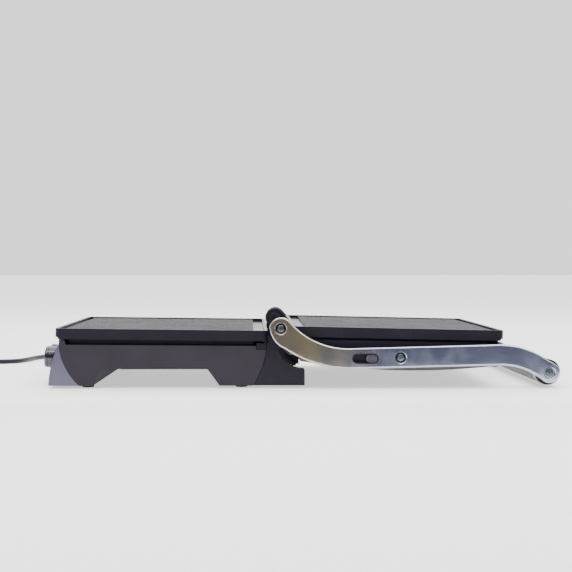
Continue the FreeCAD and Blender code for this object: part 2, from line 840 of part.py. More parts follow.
def handle_collar():
    y0, y1 = -arm_inner, -arm_inner + collar_length
    collar = rod_y(handle_x, handle_height, handle_radius, y0, y1)
    collar = rounded(collar, 1.2, lambda edge: edge.BoundBox.YMax < y0 + 0.1 and edge.BoundBox.ZLength > 5)
    return collar.cut(rod_y(handle_x, handle_height, handle_core_radius, y0, y1))


def handle_core():
    core = rod_y(handle_x, handle_height, handle_core_radius, -arm_inner, arm_inner)
    bore_end = -arm_inner + handle_screw_reach + 2
    bore = rod_y(handle_x, handle_height, handle_screw_radius, -arm_inner, bore_end)
    return core.cut(bore).cut(mirrored(bore))


# ---- floating lid ----
def cover_z(x):
    """Height of the cover's arched face at a distance behind the hinge."""
    return cover_low + cover_radius - math.sqrt(cover_radius ** 2 - (x - cover_low_x) ** 2)


def lid_rim_z(x):
    """Upper edge of the lid housing, parallel to the plate above it."""
    rim = hinge_height + upper_plate_rise - lid_top_drop
    return rim - (x - upper_plate_offset) * math.tan(upper_lean)


def lid_housing():
    """Dark ring round the lid: side walls, a shelf for the frame, and eyes for the pivot pins."""
    face = outline(
        (lid_start, lid_seam), (lid_start, lid_rim_z(lid_start)),
        (lid_end, lid_rim_z(lid_end)), (lid_end, lid_seam),
    )
    ring = rounded(prism(face, -half_lid, half_lid), 6.0, upright)
    inside = half_lid - lid_wall
    ring = ring.cut(block(lid_start + lid_wall, lid_end - lid_wall, -inside, inside, lid_seam, hinge_height))
    shelf = block(lid_start + 1, lid_end - 1, -inside - 1, inside + 1, lid_seam, lid_shelf)
    reach = inside - 16
    shelf = shelf.cut(block(lid_start + 20, lid_end - 21, -reach, reach, lid_seam, lid_shelf))
    ring = ring.fuse(shelf)
    for x, y in lid_screw_places():
        ring = ring.cut(rod_z(x, y, lid_screw_radius + screw_clearance, lid_seam, lid_shelf))
    for side in (-1, 1):
        y0, y1 = sorted((side * (half_lid - lid_eye_depth), side * half_lid))
        x0, x1 = lid_pivot_x - lid_eye_half, lid_pivot_x + lid_eye_half
        eye = block(x0, x1, y0, y1, lid_pivot_z - lid_eye_drop, lid_seam + 1)
        ring = ring.fuse(eye).cut(rod_y(lid_pivot_x, lid_pivot_z, lid_pin_radius, y0, y1))
    return ring.removeSplitter()


def cover_face(inset, top):
    """Side outline of the cover, drawn in by the wall when inset is the wall thickness."""
    x0, x1 = lid_start + inset, lid_end - inset
    turn = lid_end - cover_turn_depth
    return outline(
        (x0, top), (x0, cover_z(lid_start) + inset),
        (cover_low_x, cover_low + inset, turn, cover_z(turn) + inset),
        (x1 - 3.0, cover_z(turn) + inset + 3.2, x1, cover_z(turn) + inset + 11.0),
        (x1, top),
    )


def lid_cover():
    """Arched brown cover that becomes the top of the closed press."""
    shell = prism(cover_face(0, lid_seam), -half_lid, half_lid)
    shell = shell.cut(prism(cover_face(lid_wall, lid_seam + 1), -half_lid + lid_wall, half_lid - lid_wall))
    for side in (-1, 1):
        y0, y1 = sorted((side * (half_lid - lid_eye_depth - 1), side * (half_lid + 1)))
        half = lid_eye_half + 0.3
        x0, x1 = lid_pivot_x - half, lid_pivot_x + half
        shell = shell.cut(block(x0, x1, y0, y1, lid_pivot_z - lid_eye_drop - 0.3, lid_seam + 1))
    for x, y in lid_screw_places():
        post = rod_z(x, y, 4.5, cover_z(x) + 1, lid_seam)
        shell = shell.fuse(post).cut(rod_z(x, y, lid_screw_radius, lid_seam - 8, lid_seam))
    return shell.removeSplitter()


def lid_screw_places():
    y = half_lid - lid_wall - 10.5
    return [(x, side * y) for x in (lid_start + 13.0, lid_end - 14.5) for side in (-1, 1)]


def lid_screws():
    """Screws down through the housing's shelf into the cover's posts."""
    screws = []
    for x, y in lid_screw_places():
        screw = cross_screw(x, y, -lid_shelf, lid_screw_radius, 10, 3.2, 1.8)
        screws.append(screw.mirror(V(0, 0, 0), V(0, 0, 1)))
    return screws


def lid_cowl():
    """Curved guard on the hinge end of the lid that closes the gap above the tower's hollow."""
    face = outline(
        (lid_start - 0.1, 25.2), (lid_start - 0.1, 38.5), (17.0, 37.2), (9.8, 37.4, 4.2, 43.0),
        (9.2, 32.3, lid_start - 0.1, 25.2),
    )
    return prism(face, -tower_inner + cowl_gap, tower_inner - cowl_gap)


def pivot_spacer():
    """Washer between the side of the lid and the arm."""
    ring = rod_y(lid_pivot_x, lid_pivot_z, 9.0, -arm_inner + 0.3, -half_lid)
    return ring.cut(rod_y(lid_pivot_x, lid_pivot_z, lid_pin_radius, -arm_inner, -half_lid))


# ---- mains lead, lying on the table behind the base ----
# Chosen corners of its route (X from the hinge, Y, Z); the last run dives into the coil.
cord_route = [
    (exit_x, half_shell + relief_length, exit_z - relief_drop),
    (exit_x - 1.0, 222.0, 3.6),
    (-60.0, 262.0, 3.5),
    (-92.0, 300.0, 3.5),
    (-140.0, 328.0, 3.5),
    (-196.0, 345.0, 3.5),
    (-250.0, 350.0, 3.5),
    (-300.0, 344.0, 3.5),
    (-343.0, 322.0, 3.5),
    (-360.0, 285.0, 3.5),
    (-367.0, 243.0, 3.5),
    (-375.0, 218.0, 3.5),
    (-396.0, 203.0, 3.5),
    (-422.0, 203.0, 4.2),
    (-445.0, 203.5, 4.5),
]


def cord_tube():
    """The lead as straight runs joined by arcs, each arc as large as its two runs allow."""
    points = [V(*point) for point in cord_route]
    edges = []
    here = points[0]
    length = 0.0
    for before, corner, after in zip(points, points[1:], points[2:]):
        into, out = corner - before, after - corner
        run = min(into.Length, out.Length)
        turn = into.getAngle(out)
        radius = 0.45 * run / math.tan(turn / 2)
        into.normalize()
        out.normalize()
        start, end = corner - into * 0.45 * run, corner + out * 0.45 * run
        bisector = (out - into).normalize()
        middle = corner + bisector * (radius / math.cos(turn / 2) - radius)
        edges.append(Part.LineSegment(here, start).toShape())
        edges.append(Part.Arc(start, middle, end).toShape())
        length += (start - here).Length + radius * turn
        here = end
        print("cord bend", round(math.degrees(turn), 1), "degrees, radius", round(radius, 1))
    edges.append(Part.LineSegment(here, points[-1]).toShape())
    length += (points[-1] - here).Length
    path = Part.Wire(edges)
    ring = Part.Wire([Part.Circle(points[0], points[1] - points[0], cord_radius).toShape()])
    tube = path.makePipeShell([ring], True, True)
    ratio = tube.Volume / (math.pi * cord_radius ** 2 * length)
    print("cord length", round(length, 1), "volume ratio", round(ratio, 4))
    return tube.cut(coil_ring())


def coil_ring():
    """Outer shape of the wound part of the lead."""
    half = coil_height / 2
    low, high = tie_thickness, tie_thickness + coil_height
    outer = Part.makeCylinder(coil_radius + half, coil_height, V(coil_x, coil_y, low))
    inner = Part.makeCylinder(coil_radius - half, coil_height, V(coil_x, coil_y, low))
    at_top = plane_z(high)
    at_bottom = plane_z(low)
    return rounded(outer.cut(inner), 3.0, lambda edge: at_top(edge) or at_bottom(edge))


def cord_tie():
    """Strap round the bundle on its far side."""
    half = coil_height / 2 + 1.2
    y = coil_y + coil_radius
    strap = block(coil_x - 5, coil_x + 5, y - half, y + half, 0, coil_height + 2 * tie_thickness)
    return strap.cut(coil_ring())


def strain_relief():
    """Tapered rubber sleeve where the lead leaves the housing, with a flange inside."""
    inside = half_shell - shell_wall
    neck = rod_y(exit_x, exit_z, gland_radius, inside - 4, half_shell)
    flange = rod_y(exit_x, exit_z, gland_radius + 0.8, inside - 2, inside)
    skirt = rod_y(exit_x, exit_z, gland_radius + 1.5, half_shell, half_shell + 2)
    aim = V(0, relief_length, -relief_drop)
    sleeve = Part.makeCone(gland_radius, cord_radius + 0.8, aim.Length, V(exit_x, half_shell, exit_z), aim)
    return neck.fuse(flange).fuse(skirt).fuse(sleeve).removeSplitter()


def cord_tail():
    """Short end of the lead from the last turn of the coil to the plug."""
    outer = coil_radius + coil_height / 2
    aside = coil_y - plug_y - cord_radius
    start = coil_x - math.sqrt(outer ** 2 - aside ** 2) - 1.0
    return rod_x(plug_x, start, plug_y, plug_height / 2, cord_radius)


def plug():
    """Moulded two-pin plug lying beside the coil."""
    half = plug_half_width
    body = block(plug_x - plug_length, plug_x, plug_y - half, plug_y + half, 0, plug_height)
    return rounded(body, 5.0, lambda edge: edge.BoundBox.XLength > 1 and edge.BoundBox.YLength < 0.01)


def plug_pins():
    x = plug_x - plug_length
    return [rod_x(x - 19, x, plug_y + side * 9.5, plug_height / 2, 2.4) for side in (-1, 1)]


# ---- write every node ----
def stack(prefix, length, place, hinge_inset, far_inset, shelf):
    """Save the plate, element, heat shield, frame, screws and cut-out of one half."""
    save(prefix + "_plate", place(cooking_plate(length)))
    save(prefix + "_heating_element", place(heating_element(length)))
    save(prefix + "_heat_shield", place(heat_shield(length, hinge_inset, far_inset)))
    save(prefix + "_plate_frame", place(stack_frame(length, hinge_inset, far_inset)).common(shelf))
    save(prefix + "_plate_screws", *[place(screw) for screw in stack_screws(length)])
    save(prefix + "_thermal_fuse", place(thermal_fuse()))


stack("lower", lower_plate_length, place_lower, lower_frame_start, lower_frame_end, level_above(shelf_height))
stack("upper", upper_plate_length, place_upper, upper_frame_start, upper_frame_end, level_above(lid_shelf))

save("base_housing", base_housing())
save("base_bottom_cover", bottom_cover())
save("base_bottom_screws", *bottom_screws())
save("rubber_pads", *rubber_pads())
save("front_fascia", front_fascia())
save("indicator_lenses", *indicator_lenses())
save("rear_panel", rear_panel())
save("terminal_block", terminal_block())

temperature_y, timer_y = knob_places()
save("thermostat", control_body(temperature_y, 15, 22))
save("timer_switch", control_body(timer_y, 17, 30))
save("temperature_knob", knob(temperature_y))
save("temperature_spindle", spindle(temperature_y))
save("timer_knob", knob(timer_y))
save("timer_spindle", spindle(timer_y))

save("hinge_tower_right", hinge_tower(-1))
save("hinge_tower_left", hinge_tower(1))
save("hinge_knuckle_right", hinge_knuckle(-1))
save("hinge_knuckle_left", hinge_knuckle(1))
hinge_pin = pivot_pin(0, hinge_height, hinge_pin_radius, tower_inner + 8)
hinge_washer = pivot_washer(0, hinge_height)
hinge_screw = pivot_screw(0, hinge_height)
save("hinge_pins", hinge_pin, mirrored(hinge_pin))
save("hinge_washers", hinge_washer, mirrored(hinge_washer))
save("hinge_screws", hinge_screw, mirrored(hinge_screw))
save("release_button", release_button())
save("release_button_spring", button_spring())

arm = right_arm_blank()
save("arm_left", mirrored(arm))
save("arm_right", arm.cut(slot_block(0, -arm_outer, -arm_inner - slot_floor)))
save("slot_insert", slot_insert())
save("lock_slider", lock_slider())
save("handle_grip", handle_grip())
save("handle_collars", handle_collar(), mirrored(handle_collar()))
save("handle_core", handle_core())
handle_screw = side_screw(
    handle_x, handle_height, handle_screw_radius, -arm_inner + handle_screw_reach,
    screw_head_radius, -pocket_floor, 2.4,
)
save("handle_screws", handle_screw, mirrored(handle_screw))

save("lid_housing", lid_housing())
save("lid_cover", lid_cover())
save("lid_cowl", lid_cowl())
save("lid_screws", *lid_screws())
lid_pin = pivot_pin(lid_pivot_x, lid_pivot_z, lid_pin_radius, half_lid - 22)
lid_washer = pivot_washer(lid_pivot_x, lid_pivot_z)
lid_screw = pivot_screw(lid_pivot_x, lid_pivot_z)
save("lid_pivot_pins", lid_pin, mirrored(lid_pin))
save("lid_pivot_washers", lid_washer, mirrored(lid_washer))
save("lid_pivot_screws", lid_screw, mirrored(lid_screw))
save("lid_pivot_spacers", pivot_spacer(), mirrored(pivot_spacer()))

save("cord_strain_relief", strain_relief())
save("power_cord", cord_tube())
save("cord_coil", coil_ring())
save("cord_tie", cord_tie())
save("cord_tail", cord_tail())
save("plug_body", plug())
save("plug_pins", *plug_pins())

print(len(saved), "nodes; closing angle", round(180 - lower_plate_slope + upper_plate_slope, 3))
print("hinge at X", round(-middle_x, 4), "lid pivot at X", round(lid_pivot_x - middle_x, 4))
print("knob seat at X", round(-knob_seat - middle_x, 4), "half length", round(rear_tip - middle_x, 4))
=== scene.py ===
import json
import math

import bmesh
import bpy
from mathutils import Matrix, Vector


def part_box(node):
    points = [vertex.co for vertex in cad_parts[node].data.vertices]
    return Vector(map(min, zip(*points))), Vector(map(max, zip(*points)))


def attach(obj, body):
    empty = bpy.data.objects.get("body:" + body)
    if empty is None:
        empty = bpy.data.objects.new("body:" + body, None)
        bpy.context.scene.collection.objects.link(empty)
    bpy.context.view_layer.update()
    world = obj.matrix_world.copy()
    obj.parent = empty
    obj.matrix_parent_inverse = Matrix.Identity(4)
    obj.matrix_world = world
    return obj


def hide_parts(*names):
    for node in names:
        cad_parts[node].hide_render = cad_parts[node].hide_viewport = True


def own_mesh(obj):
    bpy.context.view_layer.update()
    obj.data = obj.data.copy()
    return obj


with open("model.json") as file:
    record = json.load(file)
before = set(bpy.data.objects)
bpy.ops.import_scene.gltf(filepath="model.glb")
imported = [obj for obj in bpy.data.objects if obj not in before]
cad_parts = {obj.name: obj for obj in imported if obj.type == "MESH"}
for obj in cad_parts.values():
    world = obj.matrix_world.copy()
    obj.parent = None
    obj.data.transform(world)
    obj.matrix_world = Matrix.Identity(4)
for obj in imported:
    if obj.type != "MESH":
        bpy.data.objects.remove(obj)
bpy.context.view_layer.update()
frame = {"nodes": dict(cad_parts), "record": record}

# ---- Camera ----
# A long lens a little above table height, all but square on to the right-hand side of the opened grill:
# it stands slightly left of the hinge, looks a little down and a little to the right.
joints = {joint["name"]: joint for joint in frame["record"]["behaviour"]["joints"]}
hinge_x = joints["lid_hinge"]["pos_m"][0]
camera_left, camera_away, camera_height = 0.036, 1.669, 0.1503
looks_down, looks_right = math.radians(1.12), math.radians(1.61)
camera_data = bpy.data.cameras.new("camera")
camera_data.lens = 80.5
camera_data.sensor_width = 36.0
camera = bpy.data.objects.new("camera", camera_data)
camera.location = (hinge_x - camera_left, -camera_away, camera_height)
camera.rotation_euler = (math.pi / 2 - looks_down, 0.0, -looks_right)
bpy.context.scene.collection.objects.link(camera)
bpy.context.scene.camera = camera


# ---- Mains lead ----
# Round two-core lead in dark grey PVC, extruded, so smooth along its length and slightly dusty. It
# leaves the far side of the base low down, crosses the table and is put away in a coil of four turns.
def linear(code):
    """An sRGB hex colour as linear red, green, blue and alpha."""
    parts = [int(code[i:i + 2], 16) / 255 for i in (0, 2, 4)]
    return [p / 12.92 if p <= 0.04045 else ((p + 0.055) / 1.055) ** 2.4 for p in parts] + [1.0]


def add(tree, kind, inputs=None, links=(), **settings):
    """Add one node, with its settings, input values and incoming links."""
    node = tree.nodes.new(kind)
    for key, value in settings.items():
        setattr(node, key, value)
    for key, value in (inputs or {}).items():
        node.inputs[key].default_value = value
    for key, socket in links:
        tree.links.new(socket, node.inputs[key])
    return node


def bare_material(name, inputs):
    """A material with its surface shader, and object coordinates in millimetres."""
    material = bpy.data.materials.new(name)
    material.use_nodes = True
    tree = material.node_tree
    tree.nodes.clear()
    shader = add(tree, "ShaderNodeBsdfPrincipled", inputs)
    add(tree, "ShaderNodeOutputMaterial", links=[("Surface", shader.outputs[0])])
    place = add(tree, "ShaderNodeTexCoord")
    in_mm = add(
        tree, "ShaderNodeMapping", {"Scale": (1000.0, 1000.0, 1000.0)}, [("Vector", place.outputs["Object"])]
    )
    return material, tree, shader, in_mm.outputs["Vector"]


def moulded(name, colour, roughness, grain_mm=1.2, grain=0.10, mottle=0.08, dust=0.0, shine=0.3):
    """Moulded plastic or rubber: eroded grain, slow changes of tone and gloss, and a little dust on top.

    A real eroded grain is 0.1 to 0.3 mm wide; grain_mm is coarser than that, so that it shows."""
    flow_mm, patch_mm = 40.0, 6.0
    material, tree, shader, mm = bare_material(
        name, {"IOR": 1.5, "Specular IOR Level": shine, "Specular Tint": linear("dcd6ee")}
    )
    cloud = add(tree, "ShaderNodeTexNoise", {"Scale": 1 / flow_mm, "Detail": 3.0}, [("Vector", mm)])
    tone = add(
        tree, "ShaderNodeMapRange",
        {"From Min": 0.3, "From Max": 0.7, "To Min": 1 - mottle, "To Max": 1 + mottle},
        [("Value", cloud.outputs["Fac"])],
    )
    toned = add(
        tree, "ShaderNodeVectorMath", {0: linear(colour)[:3]}, [("Scale", tone.outputs["Result"])],
        operation="SCALE",
    )
    patch = add(tree, "ShaderNodeTexNoise", {"Scale": 1 / patch_mm, "Detail": 5.0}, [("Vector", mm)])
    gloss = add(
        tree, "ShaderNodeMapRange",
        {"From Min": 0.3, "From Max": 0.7, "To Min": roughness - 0.06, "To Max": roughness + 0.08},
        [("Value", patch.outputs["Fac"])],
    )
    facing = add(tree, "ShaderNodeNewGeometry")
    up = add(tree, "ShaderNodeSeparateXYZ", links=[("Vector", facing.outputs["Normal"])])
    settled = add(
        tree, "ShaderNodeMath", links=[(0, up.outputs["Z"]), (1, patch.outputs["Fac"])],
        operation="MULTIPLY", use_clamp=True,
    )
    dusty = add(
        tree, "ShaderNodeMapRange", {"From Min": 0.35, "From Max": 0.75, "To Max": dust},
        [("Value", settled.outputs["Value"])],
    )
    coat = add(
        tree, "ShaderNodeMix", {"B": linear("a9a7a6")},
        [("Factor", dusty.outputs["Result"]), ("A", toned.outputs["Vector"])], data_type="RGBA",
    )
    tree.links.new(coat.outputs["Result"], shader.inputs["Base Color"])
    tree.links.new(gloss.outputs["Result"], shader.inputs["Roughness"])
    pits = add(tree, "ShaderNodeTexNoise", {"Scale": 1 / grain_mm, "Detail": 2.0}, [("Vector", mm)])
    bump = add(
        tree, "ShaderNodeBump", {"Strength": grain, "Distance": 0.0004}, [("Height", pits.outputs["Fac"])]
    )
    tree.links.new(bump.outputs["Normal"], shader.inputs["Normal"])
    return material


lead_thick = 0.007
lead_route = [
    (hinge_x + x, y, z)
    for x, y, z in (
        (-0.045, 0.185, 0.0106), (-0.046, 0.222, 0.0036), (-0.060, 0.262, 0.0035),
        (-0.092, 0.300, 0.0035), (-0.140, 0.328, 0.0035), (-0.196, 0.345, 0.0035),
        (-0.250, 0.350, 0.0035), (-0.300, 0.344, 0.0035), (-0.343, 0.322, 0.0035),
        (-0.360, 0.285, 0.0035), (-0.367, 0.243, 0.0035), (-0.375, 0.218, 0.0035),
        (-0.396, 0.203, 0.0035), (-0.422, 0.203, 0.0042), (-0.445, 0.2032, 0.0045),
    )
]
coil_middle = (hinge_x - 0.466, 0.2415)
# Each turn's place in the bundle, and how far it bows out on its way to the next: (radius, height).
coil_slots = [(0.0385, 0.0045), (0.0315, 0.0045), (0.0315, 0.0115), (0.0385, 0.0115), (0.0455, 0.0055)]
coil_swell = [(0.0360, 0.0045), (0.0290, 0.0080), (0.0358, 0.0117), (0.0440, 0.0098)]
turns, turn_points = len(coil_swell), 18
shift_begin, shift_end = 0.62, 0.84
# A smooth spline passes inside its points: on a circle of points, its radius is this share of theirs.
spline_shrink = (6 + 2 * math.cos(2 * math.pi / turn_points)) / 8
lead_points = list(lead_route)
for step in range(1, turns * turn_points + 1):
    # Each turn starts on the near side, and shifts to its next place in the bundle on the far right.
    turn, part = divmod(step, turn_points)
    share = part / turn_points
    here, after = coil_slots[turn], coil_slots[min(turn + 1, turns)]
    if share <= shift_begin or turn == turns:
        radius, height = here
    elif share >= shift_end:
        radius, height = after
    else:
        swell = coil_swell[turn]
        along = (share - shift_begin) / (shift_end - shift_begin)
        blend = [(1 - along) ** 2, 2 * along * (1 - along), along ** 2]
        reach = [2 * swell[i] - (here[i] + after[i]) / 2 for i in (0, 1)]
        radius, height = [blend[0] * here[i] + blend[1] * reach[i] + blend[2] * after[i] for i in (0, 1)]
    angle = -math.pi / 2 - 2 * math.pi * step / turn_points
    radius /= spline_shrink
    lead_points.append(
        (coil_middle[0] + radius * math.cos(angle), coil_middle[1] + radius * math.sin(angle), height)
    )
lead_points += [(hinge_x + x, y, z) for x, y, z in (
    (-0.486, 0.1956, 0.0065), (-0.506, 0.1985, 0.0095), (-0.523, 0.2030, 0.0100)
)]
lead_curve = bpy.data.curves.new("mains_lead", "CURVE")
lead_curve.dimensions = "3D"
lead_curve.bevel_depth = lead_thick / 2
lead_curve.bevel_resolution = 5
lead_curve.resolution_u = 6
lead_curve.use_fill_caps = True
spline = lead_curve.splines.new("NURBS")
spline.points.add(len(lead_points) - 1)
for point, place in zip(spline.points, lead_points):
    point.co = (*place, 1.0)
spline.order_u = 3
spline.use_endpoint_u = True
mains_lead = bpy.data.objects.new("mains_lead", lead_curve)
bpy.context.scene.collection.objects.link(mains_lead)
lead_curve.materials.append(
    moulded("grey_flexible_pvc", "1d1c22", 0.36, grain_mm=0.9, grain=0.05, mottle=0.05, dust=0.12)
)
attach(mains_lead, "base")
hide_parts("power_cord", "cord_coil", "cord_tail")


# ---- Strain relief, tie and plug ----
# Soft black rubber sleeve, moulded round the lead and clipped into the wall; its ribs get slimmer
# outwards, so that the lead bends gently. A plastic strap holds the coil. The plug is moulded in one
# with the lead, and its pins are nickel-plated.
def new_piece(name, mesh, material, body, slot, *replaced):
    """Show a mesh as a piece of the model that rides on a body and stands for these CAD nodes."""
    piece = bpy.data.objects.new(name, mesh)
    bpy.context.scene.collection.objects.link(piece)
    mesh.materials.clear()
    mesh.materials.append(material)
    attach(piece, body)
    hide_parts(*replaced)
    return piece


def shade(work, degrees=32.0):
    """Smooth faces, with the edges sharper than this angle kept crisp."""
    for face in work.faces:
        face.smooth = True
    for edge in work.edges:
        edge.smooth = len(edge.link_faces) == 2 and edge.calc_face_angle(0.0) < math.radians(degrees)


def to_mesh(work, name):
    """Close off a bmesh: merged, normals outwards, smooth where it should be."""
    bmesh.ops.remove_doubles(work, verts=work.verts, dist=1e-6)
    bmesh.ops.recalc_face_normals(work, faces=work.faces)
    shade(work)
    mesh = bpy.data.meshes.new(name)
    work.to_mesh(mesh)
    work.free()
    return mesh


def turned(work, profile, base, aim, segments):
    """Turned solid: profile is (distance along aim, radius) from the base; its ends lie on the axis."""
    base, aim = Vector(base), Vector(aim).normalized()
    side = aim.orthogonal().normalized()
    other = aim.cross(side)
    rings = []
    for distance, radius in profile:
        centre = base + aim * distance
        if radius <= 0:
            rings.append([work.verts.new(centre)])
            continue
        ring = []
        for number in range(segments):
            angle = 2 * math.pi * number / segments
            out = side * radius * math.cos(angle) + other * radius * math.sin(angle)
            ring.append(work.verts.new(centre + out))
        rings.append(ring)
    for first, second in zip(rings, rings[1:]):
        for number in range(segments):
            after = (number + 1) % segments
            corners = [
                first[number % len(first)], first[after % len(first)],
                second[after % len(second)], second[number % len(second)],
            ]
            work.faces.new(list(dict.fromkeys(corners)))


relief_start = Vector((hinge_x - 0.045, 0.159, 0.0146))
relief_end = Vector(lead_route[0])
relief_profile = [
    (-0.007, 0.0), (-0.007, 0.0060), (0.0, 0.0060), (0.0, 0.0073), (0.0018, 0.0075), (0.0022, 0.0070),
]
rib_count, first_rib, rib_pitch = 7, 0.0032, 0.0030
first_rib_radius, rib_taper = 0.0066, 0.00030
for rib in range(rib_count):
    start = first_rib + rib * rib_pitch
    outer = first_rib_radius - rib * rib_taper
    relief_profile += [
        (start - 0.0006, outer - 0.0009), (start, outer - 0.0001), (start + 0.0003, outer),
        (start + 0.0012, outer), (start + 0.0015, outer - 0.0001), (start + 0.0020, outer - 0.0009),
    ]
relief_profile += [(0.0255, 0.0044), (0.0262, 0.0041), (0.0263, 0.0)]
work = bmesh.new()
turned(work, relief_profile, relief_start, relief_end - relief_start, 48)
relief_rubber = moulded("black_relief_rubber", "1b1b1e", 0.55, grain_mm=1.0, grain=0.12, dust=0.10)
strain_relief = new_piece(
    "strain_relief", to_mesh(work, "strain_relief"), relief_rubber, "base", "rubber", "cord_strain_relief"
)


def softened(node, width, segments=2):
    """A copy of a CAD node's mesh, merged to whole faces, with its crisp edges broken by a small bevel."""
    flat_within, crisp_from = math.radians(0.6), math.radians(33.0)
    work = bmesh.new()
    work.from_mesh(frame["nodes"][node].data)
    bmesh.ops.remove_doubles(work, verts=work.verts, dist=1e-6)
    bmesh.ops.dissolve_limit(
        work, angle_limit=flat_within, verts=work.verts, edges=work.edges, use_dissolve_boundaries=False
    )
    shade(work, degrees=40.0)
    mesh = bpy.data.meshes.new("rough")
    work.to_mesh(mesh)
    work.free()
    holder = bpy.data.objects.new("holder", mesh)
    bpy.context.scene.collection.objects.link(holder)
    bevel = holder.modifiers.new("bevel", "BEVEL")
    bevel.width = width
    bevel.segments = segments
    bevel.limit_method = "ANGLE"
    bevel.angle_limit = crisp_from
    bevel.use_clamp_overlap = True
    flat = holder.modifiers.new("flat", "WEIGHTED_NORMAL")
    flat.weight = 100
    flat.keep_sharp = True
    made = bpy.data.meshes.new_from_object(holder.evaluated_get(bpy.context.evaluated_depsgraph_get()))
    made.name = node + "_finished"
    bpy.data.objects.remove(holder)
    return made


plug = new_piece(
    "plug", softened("plug_body", 0.0015, segments=3),
    moulded("black_plug_pvc", "202024", 0.45, grain_mm=1.4, grain=0.12, dust=0.08),
    "base", "plug_black", "plug_body",
)


def metal(
    name, colour, roughness, brush=(1.0, 1.0, 1.0), brush_mm=0.6, depth=0.03, vary=0.08, tint=None,
    metallic=1.0,
):
    """Bare or plated metal: hairline brushing or turning marks, smudges in the gloss, slow tone changes.

    Real hairlines are about a tenth of brush_mm apart; they are drawn this coarse so that they show."""
    smudge_mm = 22.0
    material, tree, shader, mm = bare_material(name, {"Metallic": metallic})
    stretch = add(tree, "ShaderNodeMapping", {"Scale": brush}, [("Vector", mm)])
    lines = add(
        tree, "ShaderNodeTexNoise", {"Scale": 1 / brush_mm, "Detail": 3.0},
        [("Vector", stretch.outputs["Vector"])],
    )
    smudge = add(tree, "ShaderNodeTexNoise", {"Scale": 1 / smudge_mm, "Detail": 4.0}, [("Vector", mm)])
    haze = add(
        tree, "ShaderNodeMapRange",
        {"From Min": 0.35, "From Max": 0.65, "To Min": roughness - vary / 2, "To Max": roughness + vary},
        [("Value", smudge.outputs["Fac"])],
    )
    tone = add(
        tree, "ShaderNodeMix", {"A": linear(colour), "B": linear(tint or colour)},
        [("Factor", smudge.outputs["Fac"])], data_type="RGBA",
    )
    bump = add(
        tree, "ShaderNodeBump", {"Strength": depth, "Distance": 0.0003}, [("Height", lines.outputs["Fac"])]
    )
    tree.links.new(tone.outputs["Result"], shader.inputs["Base Color"])
    tree.links.new(haze.outputs["Result"], shader.inputs["Roughness"])
    tree.links.new(bump.outputs["Normal"], shader.inputs["Normal"])
    return material


def coat_node(node, material):
    """Give a CAD node that stays in view its real finish."""
    for slot in frame["nodes"][node].material_slots:
        slot.material = material


coat_node("plug_pins", metal("nickel_plated_brass", "c9c4b4", 0.22, brush_mm=0.5))
coat_node("cord_tie", moulded("black_nylon_strap", "141416", 0.42, grain_mm=0.8))


# ---- Cooking plates ----
# Pressure-cast aluminium, ribbed along its length, with a drain strip at the hinge end. Sprayed with a
# dark non-stick coat that keeps a fine pebble from the spray and shines only at a low angle.
def nonstick_coat():
    """Sprayed fluoropolymer: a pebble drawn at 0.8 mm, twice the real one, and smoother on the strip."""
    pebble_mm, cloud_mm = 0.8, 60.0
    strip_ends_mm, ribs_begin_mm = 31.0, 33.0
    material, tree, shader, mm = bare_material(
        "dark_nonstick_coat", {"IOR": 1.55, "Specular IOR Level": 0.09, "Specular Tint": linear("ecdcee")}
    )
    speck = add(tree, "ShaderNodeTexNoise", {"Scale": 1 / pebble_mm, "Detail": 2.0}, [("Vector", mm)])
    cloud = add(tree, "ShaderNodeTexNoise", {"Scale": 1 / cloud_mm, "Detail": 4.0}, [("Vector", mm)])
    colour = add(
        tree, "ShaderNodeMix", {"A": linear("1f1e25"), "B": linear("28272f")},
        [("Factor", cloud.outputs["Fac"])], data_type="RGBA",
    )
    gloss = add(
        tree, "ShaderNodeMapRange", {"From Min": 0.3, "From Max": 0.7, "To Min": 0.22, "To Max": 0.30},
        [("Value", cloud.outputs["Fac"])],
    )
    split = add(tree, "ShaderNodeSeparateXYZ", links=[("Vector", mm)])
    from_hinge = add(
        tree, "ShaderNodeMath", {1: 1000 * hinge_x}, [(0, split.outputs["X"])], operation="SUBTRACT"
    )
    distance = add(tree, "ShaderNodeMath", links=[(0, from_hinge.outputs["Value"])], operation="ABSOLUTE")
    strip = add(
        tree, "ShaderNodeMapRange",
        {"From Min": ribs_begin_mm, "From Max": strip_ends_mm, "To Min": 1.0, "To Max": 0.55},
        [("Value", distance.outputs["Value"])],
    )
    gloss = add(
        tree, "ShaderNodeMath", links=[(0, gloss.outputs["Result"]), (1, strip.outputs["Result"])],
        operation="MULTIPLY",
    )
    relief = add(
        tree, "ShaderNodeMath", links=[(0, speck.outputs["Fac"]), (1, strip.outputs["Result"])],
        operation="MULTIPLY",
    )
    bump = add(
        tree, "ShaderNodeBump", {"Strength": 0.08, "Distance": 0.0004}, [("Height", relief.outputs["Value"])]
    )
    tree.links.new(colour.outputs["Result"], shader.inputs["Base Color"])
    tree.links.new(gloss.outputs["Value"], shader.inputs["Roughness"])
    tree.links.new(bump.outputs["Normal"], shader.inputs["Normal"])
    return material


coating = nonstick_coat()
for node, body in (("lower_plate", "base"), ("upper_plate", "lid")):
    new_piece(node + "_coated", softened(node, 0.0006), coating, body, "nonstick", node)

